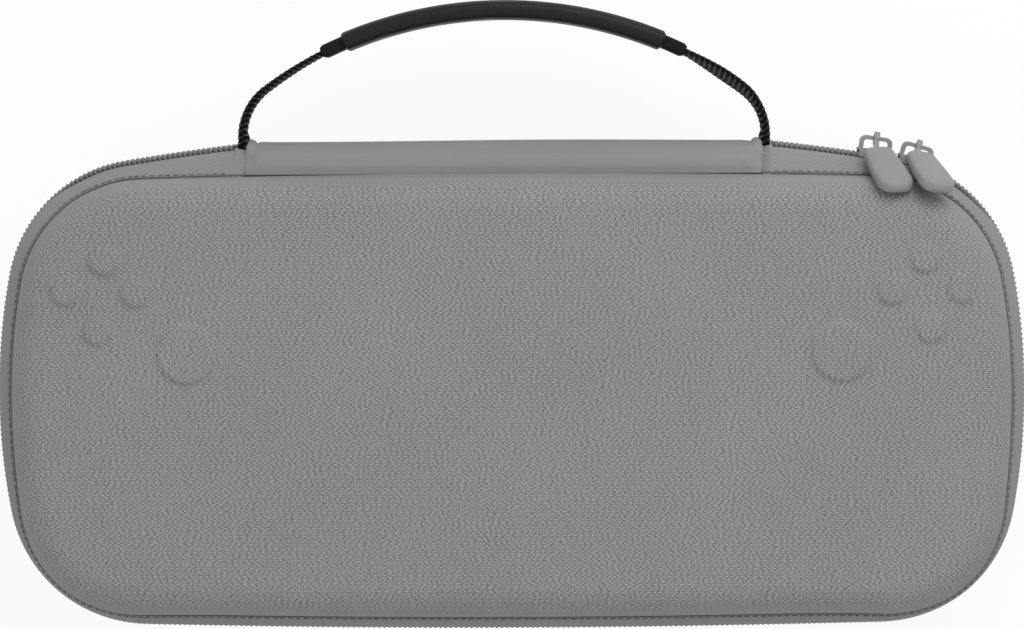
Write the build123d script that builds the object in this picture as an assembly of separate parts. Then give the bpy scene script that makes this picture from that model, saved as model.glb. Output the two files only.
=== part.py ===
from build123d import *
from math import asin, atan2, cos, degrees, hypot, radians, sin, sqrt, tan
import os

# A zippered hard carry case for a portable game console, lying on its back shell.
# Millimetres. X runs along the case, Y towards the handle, Z from the back shell to the lid.
# The origin is the middle of the back shell's flat face.

os.makedirs("parts", exist_ok=True)

# Plan of the case at its widest line
case_width = 300.0
case_height = 138.6
side_bow_radius = 186.0
long_bow_radius = 4000.0
corner_radius = 41.5

# On the handle side the zip stands further out than elsewhere, in a rounder bow
zip_bow_radius = 690.0
zip_overhang = 8.3

# Moulded shells
back_depth = 40.0
lid_depth = 20.0
shell_wall = 3.5
shell_draft = 4.0
shoulder_radius = 10.0
zip_level = back_depth
case_depth = back_depth + lid_depth
foot_inset = 4.9
foot_rise = 9.0

# Raised discs on the lid, as (distance in from the case's end, y, radius), the same at both ends,
# with their middle a little right of the lid's
disc_shift = 1.0
small_disc = 4.2
large_disc = 8.6
disc_rise = 0.8
disc_places = [
    (32.1, 39.7, small_disc),
    (21.2, 31.0, small_disc),
    (41.3, 30.5, small_disc),
    (30.3, 19.6, small_disc),
    (55.7, 12.8, large_disc),
]

# Zip: two coils, each sewn to its own tape
coil_depth = 2.2
coil_half_width = 3.2
coil_gap = 0.35
coil_bevel = 0.6
tape_thickness = 1.0

# Fabric spine that hinges the lid, a little left of the middle
spine_centre = -1.8
spine_length = 151.4
spine_overhang = 4.5
spine_crown = case_height / 2 + spine_overhang
spine_thickness = 1.6
sewn_gap = 0.1
lid_seam_gap = 0.2
hinge_y = spine_crown - spine_thickness / 2

# Handle: one webbing strap with a padded grip, turning on a sewn bar at each root
running_gap = 0.3
side_gap = 0.4
strap_thickness = 2.2
strap_width = 15.0
root_half_width = 2.6
root_neck = 10.0
root_taper = 10.0
grip_half_thickness = 2.9
grip_half_width = 9.0
core_half_thickness = 2.0
core_half_width = 8.0
core_step = 6.3
handle_rise = 45.1
handle_top = case_height / 2 + handle_rise
arch_leg = spine_length / 2 + side_gap + strap_thickness / 2
arch_radius = 1.55 * arch_leg
arch_corner = 17.0
arch_centre_y = handle_top - grip_half_thickness - arch_radius
grip_reach = 0.6 * arch_leg
core_reach = grip_reach + core_step
bar_radius = spine_thickness / 2
root_clear = root_half_width + 1.9

# Zip sliders and their pulls
slider_length = 10.4
slider_gap = 0.4
plate_thickness = 0.7
plate_half_width = 3.8
plate_corner = 1.5
inner_plate_half_width = 2.8
post_thickness = 0.3
post_length = 2.5
bridge_half_width = 0.8
bridge_thickness = 1.2
bridge_rise = 4.3
slider_spacing = 1.5
ring_thickness = 1.6
ring_outer = 2.0
first_pull_skew = 19.0
second_pull_skew = 29.0
tab_start = 7.0
tab_length = 21.0
tab_width = 10.0
tab_thickness = 4.2
tab_corner = 4.5
tab_edge = 1.2
stem_width = 4.0
stem_thickness = 0.9
stem_grip = 5.0
stem_overlap = 1.2
pull_clearance = 1.0

# Inside
binding_thickness = 0.8
binding_inset = foot_inset + tape_thickness + 2 * sewn_gap
tray_top = 24.0
tray_floor = 2.5
tray_border_x = 24.0
tray_border_y = 21.5
recess_length = case_width - 2 * tray_border_x
recess_height = case_height - 2 * tray_border_y
recess_corner = 34.0
notch_radius = 7.0
notch_place = 0.2 * case_width
hold_strap_width = 26.0
hold_strap_thickness = 1.2
pad_length = 24.0
pad_thickness = 0.8
pad_margin = 2.0
mesh_thickness = 0.8
hem_over = 0.3
pocket_level = zip_level + foot_rise + hem_over
pocket_mouth = 22.0
hem_height = 6.0


def far_meeting(first, first_reach, second, second_reach):
    """The point at given distances from two points, beside the line from first to second."""
    line = second - first
    step = line.normalized()
    along = (first_reach**2 - second_reach**2 + line.length**2) / (2 * line.length)
    across = sqrt(first_reach**2 - along**2)
    return first + step * along + Vector(-step.Y, step.X) * across


side_centre = Vector(case_width / 2 - side_bow_radius, 0)
long_centre = Vector(0, case_height / 2 - long_bow_radius)
zip_centre = Vector(0, case_height / 2 + zip_overhang - zip_bow_radius)


def corner_between(centre, radius):
    """The centre of the corner's arc between the right side and a long side with the given bow."""
    return far_meeting(side_centre, side_bow_radius - corner_radius, centre, radius - corner_radius)


shell_corner = corner_between(long_centre, long_bow_radius)
zip_corner = corner_between(zip_centre, zip_bow_radius)


def half_plan(inset, centre, radius, corner):
    """Points round the plan above the X axis, moved inward by inset: ends and middles of arcs in turn."""
    to_side = (corner - side_centre).normalized()
    to_long = (corner - centre).normalized()
    side_end = side_centre + to_side * (side_bow_radius - inset)
    long_end = centre + to_long * (radius - inset)
    middle = corner + (to_side + to_long).normalized() * (corner_radius - inset)
    half_turn = atan2(side_end.Y, side_end.X - side_centre.X) / 2
    side_middle = side_centre + Vector(cos(half_turn), sin(half_turn)) * (side_bow_radius - inset)
    right = [Vector(case_width / 2 - inset, 0), side_middle, side_end, middle, long_end]
    left = [Vector(-point.X, point.Y) for point in reversed(right)]
    return [*right, Vector(0, centre.Y + radius - inset), *left]


def closed_plan(upper, lower):
    """The area within two half plans, the lower one mirrored, in arcs that run smoothly into each other."""
    below = [Vector(point.X, -point.Y) for point in reversed(lower)]
    points = [*upper, *below[1:]]
    return make_face([ThreePointArc(*points[k : k + 3]) for k in range(0, len(points) - 1, 2)])


def shell_plan(inset):
    """The shells' plan, the same on both long sides."""
    half = half_plan(inset, long_centre, long_bow_radius, shell_corner)
    return closed_plan(half, half)


def zip_plan(inset):
    """The zip's plan, with its rounder bow on the handle side."""
    upper = half_plan(inset, zip_centre, zip_bow_radius, zip_corner)
    return closed_plan(upper, half_plan(inset, long_centre, long_bow_radius, shell_corner))


def prism(plan, low, high, draft=0.0):
    """A plan raised from low to high, its walls leaning inward by draft."""
    return extrude(Pos(0, 0, low) * plan, amount=high - low, taper=draft)


def ring(plan, inset, thickness, low, high):
    """An upright wall of the given thickness that follows a plan."""
    return prism(plan(inset), low, high) - prism(plan(inset + thickness), low, high)


def to_back(solid):
    """The back shell's counterpart of a lid piece."""
    return solid.mirror(Plane.XY.offset(zip_level))


def domed_block(inset, reach, rounding):
    """A block from a shell's foot to reach from the zip, with a rounded shoulder, on the lid's side."""
    block = prism(shell_plan(inset), zip_level + foot_rise, zip_level + reach, shell_draft)
    return fillet(block.edges().group_by(Axis.Z)[-1], rounding)


lid_block = domed_block(foot_inset, lid_depth, shoulder_radius)
lid_hollow = domed_block(foot_inset + shell_wall, lid_depth - shell_wall, shoulder_radius - shell_wall)
back_block = to_back(domed_block(foot_inset, back_depth, shoulder_radius))
back_hollow = to_back(
    domed_block(foot_inset + shell_wall, back_depth - shell_wall, shoulder_radius - shell_wall)
)


def raised_disc(x, y, radius):
    """A low round pad with a soft edge, standing on the lid's face."""
    disc = Pos(x, y, case_depth - disc_rise) * Cylinder(
        radius, 2 * disc_rise, align=(Align.CENTER, Align.CENTER, Align.MIN)
    )
    return fillet(disc.edges().group_by(Axis.Z)[-1], disc_rise * 0.7)


def make_front_shell():
    """The moulded lid with its raised discs."""
    shell = lid_block - lid_hollow
    for inset, y, radius in disc_places:
        for s in (1, -1):
            shell += raised_disc(disc_shift + s * (case_width / 2 - inset), y, radius)
    return shell


def make_back_shell():
    """The moulded back, plain so that it lies flat."""
    return back_block - back_hollow


def off_the_spine(wall):
    """A wall of the zip with the spine's stretch taken away, and room for the handle's roots to turn."""
    spine_stretch = Box(spine_length + 2 * sewn_gap, case_height / 2, case_depth)
    bar_end = arch_leg + strap_thickness / 2 + 2 * side_gap + bar_radius
    root_stretch = Box(2 * bar_end, case_height / 2, 2 * root_clear)
    middle = Pos(spine_centre, case_height / 2 + zip_overhang, zip_level)
    return wall - middle * spine_stretch - middle * root_stretch


def sloping_block(inset):
    """A block that leans in from the zip's plan at the top of the coil to the plan of the lid's foot."""
    low = Pos(0, 0, zip_level + coil_half_width) * zip_plan(coil_depth + inset)
    high = Pos(0, 0, zip_level + foot_rise) * shell_plan(foot_inset + inset)
    return loft([low, high], ruled=True)


def make_tape():
    """The lid's woven zip tape: upright behind the coil, then sloping in to the shell's foot."""
    upright = ring(zip_plan, coil_depth, tape_thickness, zip_level + coil_gap, zip_level + coil_half_width)
    return off_the_spine(upright + (sloping_block(0) - sloping_block(tape_thickness)))


def make_coil():
    """The lid's zip coil, as a rail with bevelled edges that holds the coil's outer size."""
    low = zip_level + coil_gap
    high = zip_level + coil_half_width
    rail = prism(zip_plan(0), low + coil_bevel, high - coil_bevel)
    rail += prism(zip_plan(0), high - coil_bevel, high, 45)
    rail += prism(zip_plan(coil_bevel), low, low + coil_bevel, -45)
    return off_the_spine(rail - prism(zip_plan(coil_depth), low, high))


def make_binding():
    """The tape sewn under the lid's foot, which covers the seam from inside."""
    foot = zip_level + foot_rise
    width = foot_inset + shell_wall - binding_inset
    return off_the_spine(ring(shell_plan, binding_inset, width, foot - binding_thickness, foot))


def spine_section(inset, lid_gap):
    """The area under the spine's rounded fabric, moved in by inset, in the plane across the case."""
    foot_y = case_height / 2 - foot_inset
    lip_y = foot_y - shell_wall + 0.5
    low = zip_level - foot_rise + inset
    high = zip_level + foot_rise - lid_gap - inset
    points = Polyline((foot_y, high), (lip_y, high), (lip_y, low), (foot_y, low))
    crown = ThreePointArc((foot_y, low), (spine_crown - inset, zip_level), (foot_y, high))
    return Plane.YZ * make_face([*points.edges(), crown])


def make_spine():
    """The rolled fabric panel that joins the two shells on the handle side."""
    start = spine_centre - spine_length / 2
    area = spine_section(0, lid_seam_gap) - spine_section(spine_thickness, lid_seam_gap)
    return Pos(start, 0, 0) * extrude(area, amount=spine_length, dir=(1, 0, 0))


def make_bars():
    """The sewn bars at the spine's two ends that the handle's roots turn on."""
    bars = []
    strap_out = arch_leg + strap_thickness / 2 + side_gap
    for s in (1, -1):
        start = spine_length / 2
        shank = Cylinder(bar_radius, strap_out - start, align=(Align.CENTER, Align.CENTER, Align.MIN))
        head = Pos(0, 0, strap_out - start) * Cylinder(
            2 * bar_radius, bar_radius, align=(Align.CENTER, Align.CENTER, Align.MIN)
        )
        turned = Rot(0, s * 90, 0) * (shank + head)
        bars.append(Pos(spine_centre + s * start, hinge_y, zip_level) * turned)
    return Compound(children=bars)


# The arch of the handle: an upright leg, a corner arc and half of the long arc, mirrored
bend_x = arch_leg - arch_corner
bend_y = arch_centre_y + sqrt((arch_radius - arch_corner) ** 2 - bend_x**2)
bend_angle = atan2(bend_y - arch_centre_y, bend_x)


def strap_rail(shift):
    """One edge of the strap seen from the front, shift outside the middle of its thickness."""
    long_radius = arch_radius + shift
    corner = arch_corner + shift
    leg = arch_leg + shift
    root_y = hinge_y - root_half_width
    join = (long_radius * cos(bend_angle), arch_centre_y + long_radius * sin(bend_angle))
    half = bend_angle / 2
    knee = (bend_x + corner * cos(half), bend_y + corner * sin(half))
    edges = []
    for s in (1, -1):
        edges += Line((s * leg, root_y), (s * leg, bend_y)).edges()
        edges += ThreePointArc((s * leg, bend_y), (s * knee[0], knee[1]), (s * join[0], join[1])).edges()
    crown = (0, arch_centre_y + long_radius)
    edges += ThreePointArc(join, crown, (-join[0], join[1])).edges()
    return edges, leg, root_y


def make_strap():
    """The webbing strap, narrowed and rounded at its roots, with a hole there for each bar."""
    outer, outer_leg, root_y = strap_rail(strap_thickness / 2)
    inner, inner_leg, _ = strap_rail(-strap_thickness / 2)
    ends = [Line((s * inner_leg, root_y), (s * outer_leg, root_y)) for s in (1, -1)]
    band = extrude(make_face([*outer, *inner, *ends]), amount=strap_width / 2, both=True)
    taper_start = hinge_y + root_neck
    taper_end = taper_start + root_taper
    top = handle_top
    half = strap_width / 2
    side = make_face(
        Polyline(
            (hinge_y, -root_half_width),
            (taper_start, -root_half_width),
            (taper_end, -half),
            (top, -half),
            (top, half),
            (taper_end, half),
            (taper_start, root_half_width),
            (hinge_y, root_half_width),
            close=True,
        )
    ) + Pos(hinge_y, 0) * Circle(root_half_width)
    side -= Pos(hinge_y, 0) * Circle(bar_radius + running_gap)
    shape = band & extrude(Plane.YZ * side, amount=2 * arch_leg, both=True)
    return Pos(spine_centre, 0, zip_level) * shape


def arch_sleeve(reach, half_thickness, half_width, rounding):
    """A bar with rounded edges along the handle's long arc, for reach on each side of the middle."""
    angle = asin(reach / arch_radius)
    section = Pos(arch_radius, 0) * RectangleRounded(2 * half_thickness, 2 * half_width, rounding)
    turned = revolve(Plane.XZ * section, Axis.Z, degrees(2 * angle))
    start = 90 - degrees(angle)
    return Pos(spine_centre, arch_centre_y, zip_level) * Rot(0, 0, start) * turned


strap = make_strap()
core_block = arch_sleeve(core_reach, core_half_thickness, core_half_width, 0.8)


def make_core():
    """The stiff sleeve around the strap, which shows as a step at each end of the grip."""
    return core_block - strap


def make_grip():
    """The padded grip around the core."""
    return arch_sleeve(grip_reach, grip_half_thickness, grip_half_width, 1.9) - core_block - strap


def slider_section():
    """A slider cut across the zip: x is how far outside the zip's line, y the height over its middle."""
    outer_low = slider_gap
    outer_high = slider_gap + plate_thickness
    outer = Pos((outer_low + outer_high) / 2, 0) * Rectangle(plate_thickness, 2 * plate_half_width)
    lip_depth = 1.9
    lip_height = plate_half_width - coil_half_width - slider_gap / 2
    for s in (1, -1):
        place = Pos(outer_low - lip_depth / 2, s * (plate_half_width - lip_height / 2))
        outer += place * Rectangle(lip_depth, lip_height)
    inner_high = -coil_depth - tape_thickness - slider_gap
    inner = Pos(inner_high - plate_thickness / 2, 0) * Rectangle(plate_thickness, 2 * inner_plate_half_width)
    post_middle = (outer_high + inner_high - plate_thickness) / 2
    post_depth = outer_high - inner_high + plate_thickness
    post = Pos(post_middle, 0) * Rectangle(post_depth, post_thickness)
    return outer + inner, post


def bridge():
    """The arch over a slider that its pull hangs on: x along the zip, y outward."""
    base = slider_gap + plate_thickness / 2
    top = bridge_rise + bridge_thickness / 2
    half = slider_length / 2 - 0.4
    solid = Pos(0, (base + top) / 2) * Rectangle(2 * half, top - base)
    solid = fillet(solid.vertices().group_by(Axis.Y)[-1], 1.8)
    hole_top = bridge_rise - bridge_thickness / 2
    hole = Pos(0, (base + hole_top) / 2) * Rectangle(2 * half - 2.6, hole_top - base)
    hole = fillet(hole.vertices().group_by(Axis.Y)[-1], 0.8)
    return extrude(solid - hole, amount=bridge_half_width, both=True)


def ring_and_stem(skew):
    """A pull's metal ring around the bridge, with the stem that the tab grips, along +Z from the bridge."""
    hole = hypot(bridge_thickness, 2 * bridge_half_width) / 2 + running_gap
    upright = (Align.CENTER, Align.CENTER, Align.MIN)
    eye = Rot(0, 90, 0) * Cylinder(ring_outer, ring_thickness)
    neck = Box(ring_thickness, stem_thickness, tab_start, align=upright)
    stem = Pos(0, 0, -stem_overlap) * Box(stem_width, stem_thickness, stem_grip + stem_overlap, align=upright)
    skewed = Pos(0, 0, tab_start) * Rot(0, skew, 0) * stem
    return eye + neck + skewed - Rot(0, 90, 0) * Cylinder(hole, 2 * ring_thickness)


def soft_tab(skew):
    """A pull's soft tab around its stem, skewed to one side."""
    plan = RectangleRounded(tab_width, tab_length, tab_corner)
    solid = extrude(Plane.XZ * plan, amount=tab_thickness / 2, both=True)
    solid = fillet(solid.edges().group_by(Axis.Y)[0] + solid.edges().group_by(Axis.Y)[-1], tab_edge)
    block = Pos(0, 0, tab_start) * Rot(0, skew, 0) * Pos(0, 0, tab_length / 2) * solid
    return block - ring_and_stem(skew)


# Places on the zip's line: x along the zip, y outward, z up. The second slider starts where the corner does.
half_slider = slider_length / 2
corner_start = asin(zip_corner.X / (zip_bow_radius - corner_radius))
first_turn = corner_start - (half_slider + slider_spacing) / zip_bow_radius
second_turn = corner_start + half_slider / corner_radius


def place_on(centre, radius, turn):
    """A place on an arc of the zip, turned from +Y towards +X."""
    out = Vector(sin(turn), cos(turn))
    point = centre + out * radius
    return Plane(origin=(point.X, point.Y, zip_level), x_dir=(out.Y, -out.X, 0), z_dir=(0, 0, 1))


first_place = place_on(zip_centre, zip_bow_radius, first_turn)
second_place = place_on(zip_corner, corner_radius, second_turn)


def pull_lean(place):
    """How far a pull leans in from upright before its tab meets the lid's shoulder, in degrees."""
    point = Vector(place.origin.X, place.origin.Y)
    over_bow = (point - long_centre).length - long_bow_radius
    under_corner = (zip_corner - shell_corner).length
    foot = foot_inset + (over_bow if point.X < shell_corner.X else -under_corner)
    level = lid_depth - shoulder_radius
    draft = radians(shell_draft)
    inset = foot + (level - foot_rise) * tan(draft) + shoulder_radius / cos(draft)
    standoff = shoulder_radius + tab_thickness / 2 + pull_clearance
    reach = hypot(inset + bridge_rise, level)
    return degrees(atan2(inset + bridge_rise, level) - asin(standoff / reach))


def rounded_plates(body):
    """A slider's plates with their corners rounded off."""
    plan = RectangleRounded(slider_length, 2 * plate_half_width, plate_corner)
    return body & extrude(Plane.XZ * plan, amount=slider_length, both=True)


def make_first_slider():
    """The slider on the zip's long bow, so nearly straight that its plates are."""
    plates, post = slider_section()
    across = Plane(origin=(-slider_length / 2, 0, 0), x_dir=(0, 1, 0), z_dir=(1, 0, 0))
    body = rounded_plates(extrude(across * plates, amount=slider_length))
    body += extrude(across * post, amount=post_length)
    return first_place * (body + bridge())


def make_second_slider():
    """The slider on the corner, curved to follow it."""
    plates, post = slider_section()
    turn = degrees(slider_length / corner_radius)
    post_turn = degrees(post_length / corner_radius)
    across = Plane(origin=(0, -corner_radius, 0), x_dir=(1, 0, 0), z_dir=(0, -1, 0)) * Pos(corner_radius, 0)
    axis = Axis((0, -corner_radius, 0), (0, 0, 1))
    middle = Pos(0, -corner_radius, 0) * Rot(0, 0, 90 - turn / 2) * Pos(0, corner_radius, 0)
    body = rounded_plates(middle * revolve(across * plates, axis, turn))
    body += middle * revolve(across * post, axis, post_turn)
    return second_place * (body + bridge())


def hang(place, piece):
    """A pull's piece at its slider, leaning on the lid."""
    return place * Pos(0, bridge_rise, 0) * Rot(pull_lean(place), 0, 0) * piece


def make_tray():
    """The foam tray in the back shell, with a recess for the console and two finger notches."""
    floor = shell_wall
    block = back_hollow & Pos(0, 0, floor) * Box(
        case_width, case_height, tray_top - floor, align=(Align.CENTER, Align.CENTER, Align.MIN)
    )
    recess = Pos(0, 0, floor + tray_floor) * extrude(
        RectangleRounded(recess_length, recess_height, recess_corner), amount=tray_top
    )
    block -= recess
    for s in (1, -1):
        block -= Pos(notch_place, s * recess_height / 2, floor + tray_floor) * Cylinder(
            notch_radius, tray_top, align=(Align.CENTER, Align.CENTER, Align.MIN)
        )
    return block


def hold_strap_piece(points, width):
    """A flat strip across the tray, drawn from the side."""
    return extrude(Plane.YZ * make_face(Polyline(*points, close=True)), amount=width / 2, both=True)


strap_end = case_height / 2 - tray_border_y / 2 - foot_inset / 2
half_pad = pad_length / 2
low_top = tray_top + hold_strap_thickness
high_low = low_top + 2 * pad_thickness
high_top = high_low + hold_strap_thickness


def make_lower_hold_strap():
    """The half of the hold-down strap that carries the loop pad."""
    free_end = half_pad + pad_margin
    points = [(-strap_end, tray_top), (free_end, tray_top), (free_end, low_top), (-strap_end, low_top)]
    return hold_strap_piece(points, hold_strap_width)


def make_upper_hold_strap():
    """The half of the hold-down strap that carries the hook pad, stepping up over the lower one."""
    step_in = half_pad + 4
    step_out = half_pad + 10
    points = [
        (strap_end, tray_top),
        (strap_end, low_top),
        (step_out, low_top),
        (step_in, high_top),
        (-half_pad - pad_margin, high_top),
        (-half_pad - pad_margin, high_low),
        (step_in - 1, high_low),
        (step_out - 1, tray_top),
    ]
    return hold_strap_piece(points, hold_strap_width)


def pad(low):
    """One half of the hook and loop fastening."""
    width = hold_strap_width - 2 * pad_margin
    return Pos(0, 0, low + pad_thickness / 2) * Box(width, pad_length, pad_thickness)


pocket_space = domed_block(
    foot_inset + shell_wall + sewn_gap, lid_depth - shell_wall, shoulder_radius - shell_wall
)


def lid_slice(low, high, south, north):
    """A level slice of the lid's hollow between two distances along Y."""
    slab = Box(case_width, north - south, high - low)
    return pocket_space & Pos(0, (south + north) / 2, (low + high) / 2) * slab


def make_mesh():
    """The mesh front of the lid's pocket."""
    return lid_slice(pocket_level, pocket_level + mesh_thickness, -case_height, pocket_mouth)


def make_hem():
    """The elastic hem along the pocket's mouth."""
    top = pocket_level + mesh_thickness + hem_over
    return lid_slice(pocket_level - hem_over, top, pocket_mouth, pocket_mouth + hem_height)


front_tape = make_tape()
front_coil = make_coil()
front_binding = make_binding()

pieces = {
    "front_shell": make_front_shell(),
    "back_shell": make_back_shell(),
    "front_zip_tape": front_tape,
    "back_zip_tape": to_back(front_tape),
    "front_zip_coil": front_coil,
    "back_zip_coil": to_back(front_coil),
    "front_rim_binding": front_binding,
    "back_rim_binding": to_back(front_binding),
    "spine_panel": make_spine(),
    "handle_root_bars": make_bars(),
    "handle_webbing": strap,
    "grip_core": make_core(),
    "handle_grip": make_grip(),
    "slider_1": make_first_slider(),
    "slider_2": make_second_slider(),
    "pull_link_1": hang(first_place, ring_and_stem(first_pull_skew)),
    "pull_link_2": hang(second_place, ring_and_stem(second_pull_skew)),
    "pull_tab_1": hang(first_place, soft_tab(first_pull_skew)),
    "pull_tab_2": hang(second_place, soft_tab(second_pull_skew)),
    "console_tray": make_tray(),
    "hold_strap_lower": make_lower_hold_strap(),
    "hold_strap_upper": make_upper_hold_strap(),
    "loop_pad": pad(low_top),
    "hook_pad": pad(low_top + pad_thickness),
    "pocket_mesh": make_mesh(),
    "pocket_hem": make_hem(),
}

for name, solid in pieces.items():
    export_step(solid, f"parts/{name}.step")
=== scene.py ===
from math import asin, atan2, ceil, cos, pi, radians, sin, sqrt, tan

import bpy
import numpy as np
from mathutils import Matrix, Vector


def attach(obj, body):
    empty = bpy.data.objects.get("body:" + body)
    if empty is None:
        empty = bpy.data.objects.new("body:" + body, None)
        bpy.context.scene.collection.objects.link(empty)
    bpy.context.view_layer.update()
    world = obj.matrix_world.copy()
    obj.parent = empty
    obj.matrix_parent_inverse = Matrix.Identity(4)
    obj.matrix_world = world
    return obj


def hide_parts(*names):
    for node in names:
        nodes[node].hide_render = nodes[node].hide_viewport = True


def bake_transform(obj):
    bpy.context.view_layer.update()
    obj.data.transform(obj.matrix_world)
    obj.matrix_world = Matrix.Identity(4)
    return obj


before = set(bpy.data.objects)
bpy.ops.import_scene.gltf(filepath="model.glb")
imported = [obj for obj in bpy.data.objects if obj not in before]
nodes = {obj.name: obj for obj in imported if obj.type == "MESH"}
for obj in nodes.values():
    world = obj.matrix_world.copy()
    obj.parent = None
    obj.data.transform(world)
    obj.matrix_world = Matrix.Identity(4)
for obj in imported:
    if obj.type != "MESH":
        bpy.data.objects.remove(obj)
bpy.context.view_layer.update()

# A zippered hard carry case for a portable game console.
# Lengths are written in millimetres and turned into metres where a mesh is made.
MM = 0.001

# Sizes that the pieces share with the solids
WIDTH, HEIGHT = 300.0, 138.6
SIDE_RADIUS, LONG_RADIUS, CORNER_RADIUS = 186.0, 4000.0, 41.5
ZIP_RADIUS, ZIP_TOP = 690.0, 77.6
ZIP = 40.0
LID_DEPTH, BACK_DEPTH = 20.0, 40.0
WALL, SHOULDER, DRAFT = 3.5, 10.0, 4.0
FOOT_INSET, FOOT_RISE = 4.9, 9.0
COIL_DEPTH, COIL_TOP = 2.2, 3.2
SPINE_CENTRE, SPINE_LENGTH, SPINE_CROWN = -1.8, 151.4, 73.8
HINGE_Y = 73.0
STRAP_HALF, ROOT_HALF = 7.5, 2.6
HANDLE_TOP = 114.4
ARCH_LEG = 77.2
ARCH_RADIUS = 1.55 * ARCH_LEG
ARCH_CORNER = 17.0
GRIP_HALF = (2.9, 9.0)
CORE_HALF = (2.0, 8.0)
ARCH_CENTRE_Y = HANDLE_TOP - GRIP_HALF[0] - ARCH_RADIUS
GRIP_REACH = 0.6 * ARCH_LEG
CORE_REACH = GRIP_REACH + 6.3
COIL_ROOT = ARCH_LEG + 0.1
TRAY_TOP, TRAY_FLOOR = 24.0, 6.0
RECESS_HALF, RECESS_CORNER = (126.0, 47.8), 34.0
NOTCH_X, NOTCH_RADIUS = 60.0, 7.0
POCKET_LEVEL, POCKET_MOUTH = 49.3, 22.0

# Where the photograph's case is a little fuller than the solids
CORNER_SPREAD = 30.0
SHELL_PUSH = (2.4, 1.55, 0.5)
TAPE_PUSH = (0.5, 0.1, 0.0)


# Meshes

def new_object(name, points, faces, materials, indices=None, uv=None, weave=None):
    """A smooth mesh object from points in millimetres, with one material index for each face."""
    mesh = bpy.data.meshes.new(name)
    mesh.from_pydata((np.asarray(points, float) * MM).tolist(), [], faces)
    if uv is not None:
        layer = mesh.uv_layers.new(name="UVMap")
        loops = np.zeros(len(mesh.loops), int)
        mesh.loops.foreach_get("vertex_index", loops)
        layer.data.foreach_set("uv", np.asarray(uv, float)[loops].ravel() * MM)
    if weave is not None:
        mesh.attributes.new("weave", "FLOAT", "POINT").data.foreach_set("value", np.asarray(weave, float))
    for entry in materials:
        mesh.materials.append(entry)
    if indices is not None:
        mesh.polygons.foreach_set("material_index", indices)
    mesh.polygons.foreach_set("use_smooth", [True] * len(mesh.polygons))
    mesh.update()
    obj = bpy.data.objects.new(name, mesh)
    bpy.context.scene.collection.objects.link(obj)
    return obj


def grid_faces(rows, columns, close_columns=False, start=0):
    """The quads of a grid of points stored row by row."""
    faces = []
    for i in range(rows - 1):
        for j in range(columns if close_columns else columns - 1):
            a = start + i * columns + j
            b = start + i * columns + (j + 1) % columns
            faces.append((a, b, b + columns, a + columns))
    return faces


def tube_faces(rows, columns, start=0):
    """The faces of a tube with closed ends."""
    faces = grid_faces(rows, columns, close_columns=True, start=start)
    faces.append(tuple(range(start, start + columns))[::-1])
    faces.append(tuple(range(start + (rows - 1) * columns, start + rows * columns)))
    return faces


def smoothstep(x, low, high):
    """0 below low, 1 above high and a soft step between."""
    t = np.clip((np.asarray(x, float) - low) / (high - low), 0, 1)
    return t * t * (3 - 2 * t)


def lengths_along(points):
    """How far along a line of points each of them is."""
    steps = np.linalg.norm(np.diff(np.asarray(points, float), axis=0), axis=1)
    return np.concatenate([[0], np.cumsum(steps)])


def unit(rows):
    """Each row of an array, made one long."""
    return rows / np.linalg.norm(rows, axis=1)[:, None]


def arc(centre, radius, start, end, count):
    """Points of an arc in the plane of a section, angles in degrees from the first axis."""
    turns = np.radians(np.linspace(start, end, count))
    return [(centre[0] + radius * cos(t), centre[1] + radius * sin(t)) for t in turns]


def round_section(radius, count):
    """A round section of the given radius."""
    turns = 2 * pi * np.arange(count) / count
    return [(radius * cos(t), radius * sin(t)) for t in turns]


# The plans of the case, in arcs that run smoothly into each other

def half_plan(bow, top):
    """Arcs from the middle of a long side with the given bow to the tip of the right end:
    centre, radius, angle from +Y at the start and at the end."""
    side = np.array([WIDTH / 2 - SIDE_RADIUS, 0])
    long = np.array([0, top - bow])
    reach, other = SIDE_RADIUS - CORNER_RADIUS, bow - CORNER_RADIUS
    line = long - side
    length = np.linalg.norm(line)
    step = line / length
    along = (reach**2 - other**2 + length**2) / (2 * length)
    corner = side + step * along + np.array([-step[1], step[0]]) * sqrt(reach**2 - along**2)
    first, last = asin(corner[0] / other), pi / 2 - asin(corner[1] / reach)
    return [(long, bow, 0, first), (corner, CORNER_RADIUS, first, last), (side, SIDE_RADIUS, last, pi / 2)]


SHELL_HALF = half_plan(LONG_RADIUS, HEIGHT / 2)
ZIP_HALF = half_plan(ZIP_RADIUS, ZIP_TOP)


def quarter_points(arcs):
    """Close points and normals of a quarter of a plan, from the middle of its long side to its end's tip."""
    points, normals = [], []
    for centre, radius, start, end in arcs:
        count = ceil(radius * (end - start) / 0.25)
        turns = start + (end - start) * np.arange(count) / count
        out = np.stack([np.sin(turns), np.cos(turns)], 1)
        points.append(centre + radius * out)
        normals.append(out)
    points.append(np.array([[WIDTH / 2, 0]]))
    normals.append(np.array([[1.0, 0.0]]))
    return np.concatenate(points), np.concatenate(normals)


def walk(upper, lower, spacing):
    """Points, outward normals and distances clockwise round a plan, from the middle of the handle side."""
    sides = []
    for top, low in zip(quarter_points(upper), quarter_points(lower)):
        right = np.concatenate([top, low[-2::-1] * [1, -1]])
        sides.append(np.concatenate([right, right[-2:0:-1] * [-1, 1]]))
    dense, dense_normals = sides
    steps = np.linalg.norm(np.diff(dense, axis=0, append=dense[:1]), axis=1)
    rate = np.cumsum(steps / np.array([spacing(x, y) for x, y in dense]))
    count = int(round(rate[-1]))
    picks = np.searchsorted(rate, np.arange(count) * rate[-1] / count)
    distance = np.concatenate([[0], np.cumsum(steps)[:-1]])
    return dense[picks], dense_normals[picks], distance[picks]


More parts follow.
